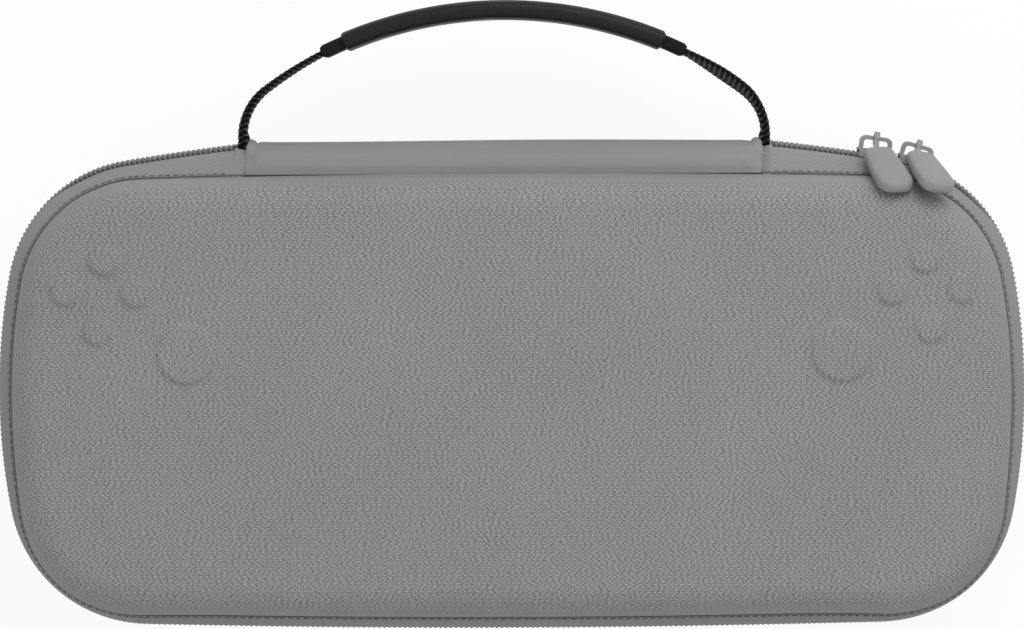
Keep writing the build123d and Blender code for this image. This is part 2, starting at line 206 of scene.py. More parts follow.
def corner_push(distance, normals, right_most, left_most, along_bottom):
    """How much further out the case stands round its two lower corners and along the side between them."""
    right = distance - distance[np.argmax(normals @ [1.0, -1.0])]
    left = distance[np.argmax(normals @ [-1.0, -1.0])] - distance
    push = right_most * np.exp(-((right / CORNER_SPREAD) ** 2)) + left_most * np.exp(-((left / CORNER_SPREAD) ** 2))
    return push + along_bottom * smoothstep(np.minimum(right, left), -30, 10)


def closest(points, line):
    """The points of a line that are closest to the given points."""
    return np.array([line[np.argmin(np.sum((line - p) ** 2, axis=1))] for p in points])


PLAN_STEP, FINE_STEP = 1.5, 0.3


def even(x, y):
    """Even steps round a plan."""
    return PLAN_STEP


def fine(x, y):
    """Close steps round a plan."""
    return FINE_STEP


# Materials

def material(name, base, roughness, sheen=0.0, specular=0.5):
    """A principled material, with its node tree, for the makers below to add detail to."""
    made = bpy.data.materials.new(name)
    made.use_nodes = True
    tree = made.node_tree
    shader = tree.nodes["Principled BSDF"]
    shader.inputs["Base Color"].default_value = (base, base, base, 1)
    shader.inputs["Roughness"].default_value = roughness
    shader.inputs["Specular IOR Level"].default_value = specular
    shader.inputs["Sheen Weight"].default_value = sheen
    return made, tree, shader


def node(tree, kind, **values):
    """A node of the given kind with its settings."""
    made = tree.nodes.new(kind)
    for key, value in values.items():
        setattr(made, key, value)
    return made


def calc(tree, operation, first, second=None):
    """A math node on links or plain numbers, giving its output."""
    made = node(tree, "ShaderNodeMath", operation=operation)
    for socket, value in zip(made.inputs, (first, second)):
        if value is None:
            continue
        if isinstance(value, (int, float)):
            socket.default_value = value
        else:
            tree.links.new(value, socket)
    return made.outputs[0]


def noise(tree, vector, scale, detail=3.0):
    """A noise value from 0 to 1."""
    made = node(tree, "ShaderNodeTexNoise")
    made.inputs["Scale"].default_value = scale
    made.inputs["Detail"].default_value = detail
    tree.links.new(vector, made.inputs["Vector"])
    return made.outputs["Fac"]


def ramp(tree, value, stops):
    """A colour ramp from (place, grey) stops."""
    made = node(tree, "ShaderNodeValToRGB")
    elements = made.color_ramp.elements
    while len(elements) < len(stops):
        elements.new(0.5)
    for element, (place, grey) in zip(elements, stops):
        element.position = place
        element.color = (grey, grey, grey, 1)
    tree.links.new(value, made.inputs[0])
    return made.outputs[0]


def bump(tree, shader, height, strength, distance):
    """Bump on the shader from a height link."""
    made = node(tree, "ShaderNodeBump")
    made.inputs["Strength"].default_value = strength
    made.inputs["Distance"].default_value = distance
    tree.links.new(height, made.inputs["Height"])
    tree.links.new(made.outputs[0], shader.inputs["Normal"])


def coordinates(tree, kind):
    """Texture coordinates of the given kind."""
    return node(tree, "ShaderNodeTexCoord").outputs[kind]


def dashes(tree, vector, across, along, wander=0.0):
    """Woven threads: short rounded dashes, each row half a step beside the next. Sizes in metres.
    wander is how far the dashes stray along their rows, as a share of their length."""
    parts = node(tree, "ShaderNodeSeparateXYZ")
    tree.links.new(vector, parts.inputs[0])
    row = calc(tree, "DIVIDE", parts.outputs[1], along)
    odd = calc(tree, "MODULO", calc(tree, "FLOOR", calc(tree, "ADD", row, 4000.0)), 2.0)
    place = calc(tree, "ADD", calc(tree, "DIVIDE", parts.outputs[0], across), calc(tree, "MULTIPLY", odd, 0.5))
    if wander:
        stretch = node(tree, "ShaderNodeVectorMath", operation="MULTIPLY")
        stretch.inputs[1].default_value = (0.25 / across, 0.45 / along, 1.0)
        tree.links.new(vector, stretch.inputs[0])
        stray = calc(tree, "SUBTRACT", noise(tree, stretch.outputs[0], 1.0, 1.0), 0.5)
        place = calc(tree, "ADD", place, calc(tree, "MULTIPLY", stray, wander))
    bow = calc(tree, "ABSOLUTE", calc(tree, "SINE", calc(tree, "MULTIPLY", place, pi)))
    rise = calc(tree, "ABSOLUTE", calc(tree, "SINE", calc(tree, "MULTIPLY", row, pi)))
    return calc(tree, "POWER", calc(tree, "MULTIPLY", bow, rise), 0.6)


def tinted(tree, shader, height, dark, light, patches, amount):
    """Base colour from a height, with a slow change of shade over patches."""
    colour = ramp(tree, height, [(0.0, dark), (1.0, light)])
    mix = node(tree, "ShaderNodeMix", data_type="RGBA", blend_type="MULTIPLY")
    mix.inputs[0].default_value = 1.0
    tree.links.new(colour, mix.inputs[6])
    tree.links.new(ramp(tree, patches, [(0.3, 1 - amount), (0.7, 1.0)]), mix.inputs[7])
    tree.links.new(mix.outputs[2], shader.inputs["Base Color"])


def woven(name, dark, light, across, along, strength, distance, roughness=0.85, sheen=0.0, patch=0.06):
    """A woven fabric on the piece's own unfolded coordinates."""
    made, tree, shader = material(name, light, roughness, sheen, 0.25)
    flat = coordinates(tree, "UV")
    height = dashes(tree, flat, across, along)
    fuzz = noise(tree, flat, 2200.0, 2.0)
    tinted(tree, shader, height, dark, light, noise(tree, flat, 22.0), patch)
    bump(tree, shader, calc(tree, "ADD", height, calc(tree, "MULTIPLY", fuzz, 0.35)), strength, distance)
    return made


def shell_fabric():
    """The grey laminated fabric of the shells: a pressed weave that fades out over the rounded borders."""
    made, tree, shader = material("shell_fabric", 0.25, 0.8, 0.0, 0.25)
    flat = coordinates(tree, "UV")
    threads = dashes(tree, flat, 0.00177, 0.000575, 2.4)
    fuzz = noise(tree, flat, 1300.0, 2.0)
    uneven = ramp(tree, noise(tree, flat, 260.0), [(0.3, 0.55), (0.7, 1.0)])
    share = node(tree, "ShaderNodeAttribute", attribute_name="weave").outputs["Fac"]
    share = calc(tree, "MULTIPLY", share, uneven)
    centred = calc(tree, "SUBTRACT", calc(tree, "ADD", threads, calc(tree, "MULTIPLY", fuzz, 0.4)), 0.75)
    height = calc(tree, "ADD", calc(tree, "MULTIPLY", centred, share), 0.5)
    tinted(tree, shader, height, SHELL_DARK, SHELL_LIGHT, noise(tree, flat, 22.0), 0.07)
    bump(tree, shader, height, 0.6, 0.00022)
    return made


def webbing():
    """Black webbing with ribs across it, the crest of each painted lighter as a painted highlight."""
    made, tree, shader = material("webbing", 0.02, 0.75, 0.0, 0.1)
    flat = coordinates(tree, "UV")
    rib = node(tree, "ShaderNodeAttribute", attribute_name="weave").outputs["Fac"]
    # Painted highlight: the narrow crest of each rib is coloured lighter, standing for the sheen the light puts on
    # it.
    crest = calc(tree, "POWER", rib, 9.0)
    threads = dashes(tree, flat, 0.0011, 0.0006)
    height = calc(tree, "MULTIPLY", crest, calc(tree, "ADD", calc(tree, "MULTIPLY", threads, 0.7), 0.3))
    tinted(tree, shader, height, 0.004, 0.34, noise(tree, flat, 300.0), 0.45)
    bump(tree, shader, calc(tree, "ADD", threads, rib), 0.5, 0.0002)
    return made


def brushed(name, dark, light, scale, strength, distance, roughness=0.95, sheen=0.2, patch=0.2, specular=0.25):
    """A fabric, thread or foam with a fine uneven surface."""
    made, tree, shader = material(name, light, roughness, sheen, specular)
    place = coordinates(tree, "Object")
    nap = noise(tree, place, scale, 3.0)
    tinted(tree, shader, nap, dark, light, noise(tree, place, 45.0), patch)
    bump(tree, shader, nap, strength, distance)
    return made


def moulded(name, dark, light, rough, grain, strength, specular=0.5):
    """A smooth moulded or painted surface with a faint grain and an uneven gloss."""
    made, tree, shader = material(name, light, rough[0], 0.0, specular)
    place = coordinates(tree, "Object")
    skin = noise(tree, place, grain, 3.0)
    tinted(tree, shader, skin, dark, light, noise(tree, place, 90.0), 0.08)
    gloss = ramp(tree, noise(tree, place, 150.0), [(0.3, rough[0]), (0.7, rough[1])])
    tree.links.new(gloss, shader.inputs["Roughness"])
    bump(tree, shader, skin, strength, 0.00006)
    return made


def pile():
    """Hook and loop pads: a dense dark pile."""
    made, tree, shader = material("hook_and_loop", 0.02, 0.95, 0.2)
    place = coordinates(tree, "Object")
    tufts = node(tree, "ShaderNodeTexVoronoi")
    tufts.inputs["Scale"].default_value = 1400.0
    tree.links.new(place, tufts.inputs["Vector"])
    tinted(tree, shader, tufts.outputs["Distance"], 0.035, 0.008, noise(tree, place, 80.0), 0.2)
    bump(tree, shader, tufts.outputs["Distance"], 0.9, 0.0006)
    return made


SHELL_DARK, SHELL_LIGHT = 0.11, 0.43
SHELL = shell_fabric()
TAPE_CLOTH = woven("zip_tape", 0.225, 0.30, 0.0011, 0.0007, 0.35, 0.0001)
SPINE_CLOTH = woven("spine_fabric", 0.25, 0.285, 0.0009, 0.0006, 0.25, 0.00006)
LINING = brushed("lining", 0.022, 0.05, 1500.0, 0.5, 0.0003, sheen=0.3)
COIL = brushed("zip_coil", 0.17, 0.26, 900.0, 0.1, 0.00005, 0.5, 0.0, 0.1)
THREAD = brushed("thread", 0.19, 0.28, 3000.0, 0.3, 0.00008, 0.8)
# Painted shade: a dark cloth colour laid along the seam grooves where the tapes and the spine meet the shells,
# standing for the shadow in those grooves.
SEAM_SHADE = brushed("seam_shade", 0.035, 0.07, 1200.0, 0.3, 0.0001)
WEBBING = webbing()
GRIP = moulded("grip_skin", 0.004, 0.008, (0.42, 0.55), 1400.0, 0.15, 0.28)
COLLAR = brushed("grip_collar", 0.003, 0.02, 1100.0, 0.8, 0.0003, 0.75, 0.0, specular=0.12)
SLIDER = moulded("slider_enamel", 0.24, 0.30, (0.35, 0.5), 900.0, 0.08)
RUBBER = moulded("pull_rubber", 0.25, 0.275, (0.5, 0.6), 1800.0, 0.08)
BINDING = woven("binding", 0.02, 0.05, 0.001, 0.0007, 0.5, 0.0002, 0.8, 0.15, 0.15)
STRAP = woven("hold_strap", 0.012, 0.035, 0.0016, 0.0009, 0.5, 0.0002, 0.8, 0.15, 0.15)
NET = brushed("mesh", 0.015, 0.04, 2500.0, 0.4, 0.0001, 0.8)
HEM = woven("hem_elastic", 0.012, 0.04, 0.0022, 0.0008, 0.5, 0.0002, 0.8, 0.15, 0.15)
PILE = pile()


# The two moulded shells

DISCS = [(32.1, 39.7, 4.2), (21.2, 31.0, 4.2), (41.3, 30.5, 4.2), (30.3, 19.6, 4.2), (55.7, 12.8, 8.6)]
DISC_SHIFT, DISC_RISE = 1.0, 1.1


def relief(x, y):
    """The height of the lid's relief over its flat face."""
    height = np.zeros_like(x)
    for inset, disc_y, radius in DISCS:
        for s in (1, -1):
            away = np.hypot(x - DISC_SHIFT - s * (WIDTH / 2 - inset), y - disc_y)
            height = np.maximum(height, DISC_RISE * (1 - smoothstep(away, radius - 1.0, radius + 0.9)))
    return height


def shell_section(depth, inset, rounding, count):
    """A shell's section from its foot to the start of its flat face, as (outward shift, rise from the zip)."""
    slope = radians(DRAFT)
    middle = -(inset + (depth - rounding - FOOT_RISE) * tan(slope) + rounding / cos(slope))
    return arc((middle, depth - rounding), rounding, DRAFT, 90, count)


def shell_mesh(name, depth, sign, rings, spacing, raised):
    """A moulded shell as one closed mesh: lined inside, foot, outside. sign is 1 for the lid, -1 for the back."""
    path, normals, distance = walk(SHELL_HALF, SHELL_HALF, spacing)
    full = path + normals * corner_push(distance, normals, *SHELL_PUSH)[:, None]
    count = len(path)
    edge = FOOT_INSET + 0.2
    outer = [(-edge - 1.1, 9.0), (-edge - 0.4, 9.05), (-edge - 0.1, 9.3), (-edge, 9.75)]
    outer += shell_section(depth, FOOT_INSET, SHOULDER, 14)
    inner = shell_section(depth - WALL, FOOT_INSET + WALL, SHOULDER - WALL, 8)
    inner = [(-FOOT_INSET - WALL, FOOT_RISE)] + inner
    rows, flats, kinds, weave = [], [], [], []

    def add_row(at, rise, flat, kind, share):
        rows.append(np.column_stack([at, np.full(count, ZIP) + sign * rise]))
        flats.append(flat)
        kinds.append(kind)
        weave.append(np.full(count, share))

    def add_face(border, rise, shares, kind):
        for share in shares:
            at = border * share
            lift = relief(at[:, 0], at[:, 1]) if raised and kind == 0 else 0
            add_row(at, rise + lift, at, kind, 1.0)

    add_face(path + normals * inner[-1][0], depth - WALL, np.linspace(0.06, 1, 14)[:-1], 1)
    for shift, rise in inner[::-1]:
        at = path + normals * shift
        add_row(at, rise, at, 1, 0.0)
    lengths = lengths_along(outer)
    for (shift, rise), length in zip(outer, lengths):
        flat = full + normals * (outer[-1][0] + lengths[-1] - length)
        near_face = float(smoothstep(length / lengths[-1], 0.36, 0.68))
        add_row(full + normals * shift, rise, flat, 0, near_face)
    add_face(full + normals * outer[-1][0], depth, rings[::-1], 0)
    total = len(rows)
    faces = tube_faces(total, count)
    kind_of = np.repeat(kinds[:-1], count).tolist() + [1, 0]
    if sign > 0:
        faces = [f[::-1] for f in faces]
    return new_object(
        name, np.concatenate(rows), faces, [SHELL, LINING], kind_of, np.concatenate(flats), np.concatenate(weave)
    )


def lid_spacing(x, y):
    """Finer towards the two ends, where the relief is."""
    return 0.9 if abs(x) > 92 else 2.6


def back_spacing(x, y):
    """Finer round the corners."""
    return 2.0 if abs(x) > 92 else 4.0


lid_rings = np.concatenate([np.linspace(0.05, 0.6, 14), np.linspace(0.6, 1.0, 92)[1:-1]])
back_rings = np.linspace(0.05, 1.0, 22)[:-1]
lid_shell = shell_mesh("lid_shell", LID_DEPTH, 1, lid_rings, lid_spacing, True)
back_case = shell_mesh("back_case", BACK_DEPTH, -1, back_rings, back_spacing, False)
for piece, body, solid in ((lid_shell, "lid", "front_shell"), (back_case, "base", "back_shell")):
    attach(piece, body)
    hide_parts(solid)


# The zip, all round but for the spine

zip_path, zip_normals, zip_distance = walk(ZIP_HALF, SHELL_HALF, even)
zip_total = zip_distance[-1] + PLAN_STEP


def along_bow(x):
    """How far along the zip's bow a place is from the middle of the handle side."""
    return ZIP_RADIUS * asin(x / ZIP_RADIUS)


tape_start = along_bow(SPINE_LENGTH / 2 + SPINE_CENTRE - 0.8)
tape_end = zip_total - along_bow(SPINE_LENGTH / 2 - SPINE_CENTRE - 0.8)
coil_start = along_bow(COIL_ROOT + SPINE_CENTRE)
coil_end = zip_total - along_bow(COIL_ROOT - SPINE_CENTRE)
foot_path, foot_normals, foot_distance = walk(SHELL_HALF, SHELL_HALF, fine)
foot_push = corner_push(foot_distance, foot_normals, *SHELL_PUSH)
foot_line = foot_path + foot_normals * (foot_push - FOOT_INSET)[:, None]


def at_distance(where):
    """Places and outward normals at distances along the zip."""
    place = np.column_stack([np.interp(where, zip_distance, zip_path[:, k]) for k in (0, 1)])
    out = np.column_stack([np.interp(where, zip_distance, zip_normals[:, k]) for k in (0, 1)])
    return place, unit(out)


ROLL_AT, ROLL_CREST = 0.3, -0.75
ROLL_RIGHT, ROLL_LEFT = (58, 80), (44, 64)
TAPE_BEHIND, TAPE_THICKNESS = 1.75, 0.6
TAPE_LOW, TAPE_LOW_AT_ROOT = 0.35, 2.6


def tape_section(reach, upright, low, rolled, crest):
    """The tape's outside as (outward shift, rise, share of the way to the foot). reach is how far in the foot is,
    upright and low are where the tape starts behind the coil, and rolled is 1 where it rolls out to crest
    over the coil."""
    points = [(-upright, rise, 0.0) for rise in np.linspace(low, 3.0, 3)]
    across = upright + 0.35 - reach
    full = (crest + upright - across * ROLL_AT) / sin(pi * ROLL_AT**0.75)
    bulge = 0.3 + (full - 0.3) * rolled
    for t in np.linspace(0, 1, 11):
        points.append((-upright + across * t + bulge * sin(pi * t**0.75), 3.4 + 5.0 * t, t))
    return points + [
        (-reach + 0.2, 8.0, 1.0), (-reach, 7.7, 1.0), (-reach - 0.4, 8.2, 1.0), (-reach - 0.7, 8.85, 1.0)
    ]


def tape_mesh(name, sign):
    """A zip tape: upright behind the coil, then sloping in to a groove at the shell's foot. Its ends fold up
    between the coil and the strap."""
    ends = np.array([-0.05, 0.0, 0.4, 0.8, 1.2, 1.6])
    where = np.concatenate([
        [tape_start], coil_start + ends, np.arange(coil_start + 2.2, coil_end - 2.2, 1.5),
        coil_end - ends[::-1], [tape_end]
    ])
    place, out = at_distance(where)
    foot = closest(place, foot_line)
    tangent = np.column_stack([out[:, 1], -out[:, 0]])
    crests = ROLL_CREST + corner_push(where, out, *TAPE_PUSH)
    rolls = np.minimum(smoothstep(where - tape_start, *ROLL_RIGHT), smoothstep(tape_end - where, *ROLL_LEFT))
    from_root = np.minimum(where - coil_start, coil_end - where)
    roots = 0.45 * (1 - smoothstep(from_root, 0, 2.5)) - 1.2 * np.exp(-(((from_root - 0.35) / 0.55) ** 2))
    rows, uv = [], []
    for k, d in enumerate(where):
        p, n, t, f = place[k], out[k], tangent[k], foot[k]
        low = TAPE_LOW_AT_ROOT if d < coil_start or d > coil_end else TAPE_LOW
        outside = tape_section(float(np.dot(p - f, n)), TAPE_BEHIND + roots[k], low, rolls[k], crests[k])
        lean = float(np.dot(f - p, t))
        inside = [(shift - TAPE_THICKNESS, rise, share) for shift, rise, share in outside[::-1]]
        section = outside + inside
        steps = lengths_along([(shift, rise) for shift, rise, _ in section])
        for (shift, rise, share), length in zip(section, steps):
            at = p + n * shift + t * lean * share
            rows.append((at[0], at[1], ZIP + sign * rise))
            uv.append((d, length))
    columns = len(section)
    faces = tube_faces(len(where), columns)
    # Painted shade: the groove faces beside the shell's foot take the dark seam colour, standing for the shadow in
    # the groove.
    groove = range(len(outside) - 5, len(outside) - 1)
    kinds = [1 if k % columns in groove else 0 for k in range(len(faces) - 2)] + [0, 0]
    if sign < 0:
        faces = [f[::-1] for f in faces]
    return new_object(name, rows, faces, [TAPE_CLOTH, SEAM_SHADE], kinds, uv)


COIL_PITCH = 1.5
COIL_WIRE = 0.42


def tube_points(centres, firsts, seconds, section):
    """Points of a closed section carried along a line, with its two axes at each centre."""
    return np.array([c + u * a + v * b for c, u, v in zip(centres, firsts, seconds) for a, b in section])


def coil_mesh(name, sign):
    """A zip coil: one nylon thread wound flat round a cord, its turns reaching just past the middle of the zip."""
    first, last = coil_start + 0.3, coil_end - 0.3
    per_turn = 9
    t = np.arange(int((last - first) / COIL_PITCH) * per_turn + 1) / per_turn
    phase = 2 * pi * t
    shift = 0.0 if sign > 0 else COIL_PITCH / 2
    place, out = at_distance(np.clip(first + shift + t * COIL_PITCH - 0.28 * np.sin(phase), first, last))
    u = -COIL_DEPTH / 2 + (COIL_DEPTH / 2 - COIL_WIRE) * np.cos(phase)
    half = (COIL_TOP + 0.15) / 2 - COIL_WIRE
    z = ZIP + sign * ((COIL_TOP - 0.15) / 2 + half * np.sin(phase))
    centres = np.column_stack([place + out * u[:, None], z])
    tangents = unit(np.gradient(centres, axis=0))
    along = np.column_stack([out[:, 1], -out[:, 0], np.zeros(len(out))])
    side = unit(along - tangents * np.sum(along * tangents, axis=1)[:, None])
    section = round_section(COIL_WIRE, 5)
    points = tube_points(centres, side, np.cross(tangents, side), section)
    faces = tube_faces(len(centres), len(section))
    place, out = at_distance(np.arange(first + 0.5, last - 0.5, 1.5))
    level = np.full(len(place), ZIP + sign * COIL_TOP / 2)
    cord = np.column_stack([place - out * COIL_DEPTH / 2, level])
    out = np.column_stack([out, np.zeros(len(out))])
    cord_section = round_section(0.62, 8)
    cord_points = tube_points(cord, out, np.tile([0.0, 0.0, 1.0], (len(cord), 1)), cord_section)
    faces += tube_faces(len(cord), len(cord_section), len(points))
    return new_object(name, np.concatenate([points, cord_points]), faces, [COIL])


def stitch_row(name, places, directions, ups, length, radius, mat):
    """A row of sewn stitches: a short rounded thread at each place."""
    section = round_section(radius, 6)
    points, faces = [], []
    shares = [(-0.5, 0.3), (-0.42, 0.8), (0.0, 1.0), (0.42, 0.8), (0.5, 0.3)]
    for place, along, up in zip(places, directions, ups):
        side = np.cross(up, along)
        start = len(points)
        for share, thick in shares:
            centre = place + along * (share * length) + up * (radius * (thick - 1))
            points += [centre + side * (a * thick) + up * (b * thick) for a, b in section]
        faces += tube_faces(len(shares), len(section), start)
    return new_object(name, points, faces, [mat])


def foot_stitches(name, sign):
    """The fine stitches that hold a tape's edge beside the shell's foot."""
    where = np.arange(coil_start + 2, coil_end - 2, 2.3)
    place, out = at_distance(where)
    foot = closest(place, foot_line)
    in_to_out = unit(place - foot)
    centres = np.column_stack([foot + in_to_out * 1.0, np.full(len(where), ZIP + sign * 8.2)])
    along = np.column_stack([in_to_out[:, 1], -in_to_out[:, 0], np.zeros(len(out))])
    up = np.column_stack([in_to_out * 0.6, np.full(len(out), sign * 0.8)])
    return stitch_row(name, centres, along, up, 1.5, 0.2, THREAD)


for sign, side, body in ((1, "front", "lid"), (-1, "back", "base")):
    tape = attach(tape_mesh(f"{side}_tape", sign), body)
    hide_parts(f"{side}_zip_tape")
    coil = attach(coil_mesh(f"{side}_coil", sign), body)
    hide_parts(f"{side}_zip_coil")
    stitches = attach(foot_stitches(f"{side}_stitches", sign), body)


# The spine

SPINE_RADIUS, SPINE_CLOTH_THICKNESS, SPINE_SEAM, SPINE_BEND = 8.2, 1.2, 3.4, 7


def spine_line():
    """The middle of the spine's cloth from the lip under the back shell to the lip under the lid:
    y, z and the outward direction."""
    radius = SPINE_RADIUS - SPINE_CLOTH_THICKNESS / 2
    middle = SPINE_CROWN - SPINE_RADIUS
    turns = np.radians(np.linspace(-98, 98, 37))
    roll = [(middle + radius * cos(t), ZIP + radius * sin(t), cos(t), sin(t)) for t in turns]
    lip = [(61.4, 8.05), (62.6, 7.95), (63.6, 7.7), (64.1, 7.61)]
    low = [(y, ZIP - rise, 0.0, -1.0) for y, rise in lip]
    high = [(y, ZIP + rise, 0.0, 1.0) for y, rise in lip[::-1]]
    return np.array(low + roll + high)


def spine_mesh():
    """The rolled fabric spine: a soft sheet, sewn across near each end and gathered shut there."""
    across = spine_line()
    count = len(across)
    start = SPINE_CENTRE - SPINE_LENGTH / 2
    fine_end = np.concatenate([[0.0, 0.15, 0.5], np.linspace(1.0, 11, 42)])
    near = np.concatenate([fine_end, np.linspace(11, SPINE_LENGTH - 11, 70)[1:-1], SPINE_LENGTH - fine_end[::-1]])
    from_crown = np.linspace(-1, 1, count)
    near_crown = 1 - smoothstep(np.abs(from_crown), 0.05, 0.55)
    centre = np.array([SPINE_CROWN - SPINE_RADIUS, ZIP])
    rows, uv = [], []
    for step in near:
        x = start + step
        away = min(step, SPINE_LENGTH - step)
        left = step < SPINE_LENGTH / 2
        raised = 0.8 * near_crown * (1 - smoothstep(away, 1.0, 4.5))
        groove = -0.45 * near_crown * np.exp(-(((away - SPINE_SEAM) / 0.5) ** 2))
        ripple = 0.16 * np.exp(-(((away - SPINE_SEAM) / 3.0) ** 2))
        puckers = ripple * np.sin(13 * from_crown + 0.9 * away + (2.0 if left else 0.6))
        loose = 0.2 * np.sin(x * 0.045 + 1.0)
        drop = 1.9 * np.exp(-(((np.abs(from_crown) - 0.53) / 0.2) ** 2)) * (1 - smoothstep(away, 0, 4.5))
        soft = (1 - from_crown**4) * (puckers + groove + raised + loose - 0.2) - drop
        inset = 0.9 * near_crown * (1 - smoothstep(away, 0, 7)) * (1 if left else -1)
        gathered = [0.02, 0.9, 0.97][int(np.searchsorted(fine_end, away))] if away < 0.9 else 1.0
        for side in (1, -1):
            for k in range(count)[:: side]:
                y, z, oy, oz = across[k]
                out = SPINE_CLOTH_THICKNESS / 2 * side + soft[k]
                at = centre + (np.array([y + oy * out, z + oz * out]) - centre) * gathered
                tuck = (0.8 if left else -0.8) if side < 0 and gathered < 1 else 0.0
                rows.append((x + inset[k] + tuck, at[0], at[1]))
                uv.append((x, 14 * from_crown[k]))
    faces = tube_faces(len(near), 2 * count)
    # Painted shade: the lip faces where the spine tucks under the shells take the dark seam colour, standing for the
    # shadow there.
    seam_shade_faces = [*range(3), *range(count - 4, count - 1)]
    kinds = [1 if k % (2 * count) in seam_shade_faces else 0 for k in range(len(faces) - 2)] + [0, 0]
    return new_object("spine_roll", rows, faces, [SPINE_CLOTH, SEAM_SHADE], kinds, uv)


spine = spine_mesh()
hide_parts("spine_panel")
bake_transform(spine)


# The handle

BEND_X = ARCH_LEG - ARCH_CORNER
BEND_Y = ARCH_CENTRE_Y + sqrt((ARCH_RADIUS - ARCH_CORNER) ** 2 - BEND_X**2)
BEND_ANGLE = atan2(BEND_Y - ARCH_CENTRE_Y, BEND_X)


def arch_line(step):
    """The middle of the handle's arch from its left root to its right one: places and outward normals."""
    right = []
    root_y = HINGE_Y - ROOT_HALF + 0.1
    for t in np.arange(0, 1, step / (ARCH_RADIUS * (pi / 2 - BEND_ANGLE))):
        turn = pi / 2 + (BEND_ANGLE - pi / 2) * t
        right.append((ARCH_RADIUS * cos(turn), ARCH_CENTRE_Y + ARCH_RADIUS * sin(turn), cos(turn), sin(turn)))
    for t in np.arange(0, 1, step / (ARCH_CORNER * BEND_ANGLE)):
        turn = BEND_ANGLE * (1 - t)
        right.append((BEND_X + ARCH_CORNER * cos(turn), BEND_Y + ARCH_CORNER * sin(turn), cos(turn), sin(turn)))
    for t in np.arange(0, 1.0001, step / (BEND_Y - root_y)):
        right.append((ARCH_LEG, BEND_Y + (root_y - BEND_Y) * t, 1, 0))
    right = np.array(right)
    return np.concatenate([right[:0:-1] * [-1, 1, -1, 1], right])


def strap_half_width(y):
    """Half the strap's width, narrowed and rounded at the roots."""
    if y < HINGE_Y:
        return sqrt(max(0.04, ROOT_HALF**2 - (HINGE_Y - y) ** 2))
    return ROOT_HALF + (STRAP_HALF - ROOT_HALF) * float(smoothstep(y - HINGE_Y, 6, 20))


RIB_PITCH = 1.75
RIB_RISE = 0.24
ROOT_LEAN = 1.05


def strap_mesh():
    """The webbing strap with its ribs, its right leg turned a little towards the lid's side. It thickens
    towards its roots, leans in there and ends in a point between the coil and the spine."""
    line = arch_line(0.34)
    distance = lengths_along(line[:, :2])
    middle = distance[-1] / 2
    columns = 13
    rows, uv, ribs = [], [], []
    for (x, y, nx, ny), d in zip(line, distance):
        half = strap_half_width(y)
        rise = y - HINGE_Y
        leg = float(smoothstep(rise, 2, 16) * smoothstep(abs(x), CORE_REACH - 5, CORE_REACH + 13))
        turn = radians(8.5 if x > 0 else 1) * leg
        body = (0.92 + 0.5 * float(1 - smoothstep(rise, 2, 24))) * (0.3 + 0.7 * float(smoothstep(rise, -2.8, -0.4)))
        lean = ROOT_LEAN * float(smoothstep(abs(x), 40, ARCH_LEG)) * (1 if x > 0 else -1)
        foot = 0.7 * np.exp(-(((rise - 1.7) / 1.0) ** 2))
        for side in (1, -1):
            for s in np.linspace(-1, 1, columns)[:: side]:
                rib = abs(sin(pi * (d + 0.08 * s * half + (RIB_PITCH / 2 if side < 0 else 0)) / RIB_PITCH))
                thick = side * (body - RIB_RISE + RIB_RISE * rib + (foot if side < 0 else 0)) * (1 - 0.35 * s**6)
                wide = s * half
                out = thick * cos(turn) + wide * sin(turn)
                level = ZIP + wide * cos(turn) - thick * sin(turn)
                rows.append((SPINE_CENTRE + x - lean + nx * out, y + ny * out, level))
                uv.append((d - middle, wide + (0 if side > 0 else 40)))
                ribs.append(rib)
    return new_object("handle_strap", rows, tube_faces(len(line), 2 * columns), [WEBBING], None, uv, ribs)


def sleeve_mesh(name, reach, half, power, mat, ridge):
    """A padded sleeve round the arch, with a raised line along both edges of its outer face."""
    limit = asin(reach / ARCH_RADIUS)
    count = 48
    stations = np.linspace(-1, 1, 121)
    rows = []
    for s in stations:
        turn = pi / 2 - limit * s
        end = 1 - 0.25 * float(smoothstep(abs(s), 0.985, 1.0))
        for t in 2 * pi * np.arange(count) / count:
            a = np.sign(cos(t)) * abs(cos(t)) ** (2 / power)
            b = np.sign(sin(t)) * abs(sin(t)) ** (2 / power)
            wide = half[1] * b * (1 - 0.05 * (1 - end))
            lift = ridge * np.exp(-(((abs(wide) - half[1] + 2.2) / 0.35) ** 2)) * (1 if a > 0 else 0)
            r = ARCH_RADIUS + half[0] * a * end + lift
            rows.append((SPINE_CENTRE + r * cos(turn), ARCH_CENTRE_Y + r * sin(turn), ZIP + wide))
    return new_object(name, rows, tube_faces(len(stations), count), [mat])


strap = strap_mesh()
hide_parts("handle_webbing")
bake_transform(strap)
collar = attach(sleeve_mesh("grip_collars", CORE_REACH, CORE_HALF, 5, COLLAR, 0.0), "handle")
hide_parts("grip_core")
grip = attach(sleeve_mesh("grip_pad", GRIP_REACH, GRIP_HALF, 4, GRIP, 0.25), "handle")
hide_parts("handle_grip")


# Inside: straps, pads, pocket, tray and the tapes under the rims

def flat_section(half_width, half_thickness, columns):
    """A flat section with soft edges: across the top, then back across the bottom."""
    top = [(s * half_width, half_thickness * (1 - 0.6 * s**8)) for s in np.linspace(-1, 1, columns)]
    return top + [(w, -t) for w, t in top[::-1]]


def ribbon(name, centres, across, up, section, mat):
    """A flat band along a line of centres, with its own unfolded coordinates."""
    count = len(centres)
    points = tube_points(centres, [np.array(across)] * count, [np.array(up)] * count, section)
    uv = [(d, w) for d in lengths_along(centres) for w, _ in section]
    return new_object(name, points, tube_faces(count, len(section)), [mat], None, uv)


